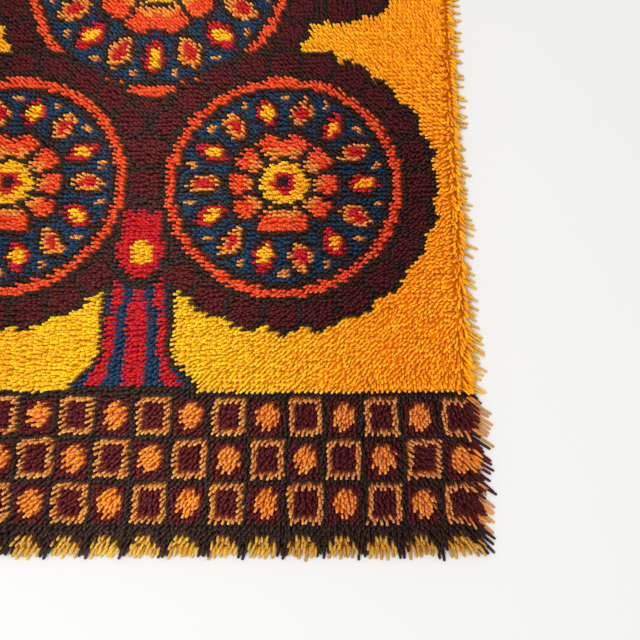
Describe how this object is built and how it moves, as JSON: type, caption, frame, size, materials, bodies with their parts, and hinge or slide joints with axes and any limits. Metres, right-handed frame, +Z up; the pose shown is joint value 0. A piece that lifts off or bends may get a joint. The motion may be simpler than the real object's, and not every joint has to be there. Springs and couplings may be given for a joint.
{
  "type": "rya rug",
  "caption": "Rectangular hand-knotted rya rug: a woven ground cloth under a thick shaggy wool pile, with uneven tufts splayed out on the floor along all four edges.",
  "frame": {"origin": "middle of the rug's underside, on the floor it lies on", "axes": "+Z up out of the pile, +Y along the rug's length away from the front border, +X across its width to the right"},
  "size_m": [1.0531, 1.5561, 0.0272],
  "materials": {
    "ground_wool": "plain-woven wool ground cloth, matt",
    "pile_gold_wool": "two-ply rya wool, gold field with orange, red, blue, maroon and dark motifs, soft sheen",
    "edge_wool": "two-ply rya wool, loose cut ends in mustard, orange, maroon and dark"
  },
  "bodies": {
    "root": {"ground": "ground_wool", "pile": "pile_gold_wool", "locks_front": "edge_wool", "locks_back": "edge_wool", "locks_left": "edge_wool", "locks_right": "edge_wool"}
  },
  "joints": []
}
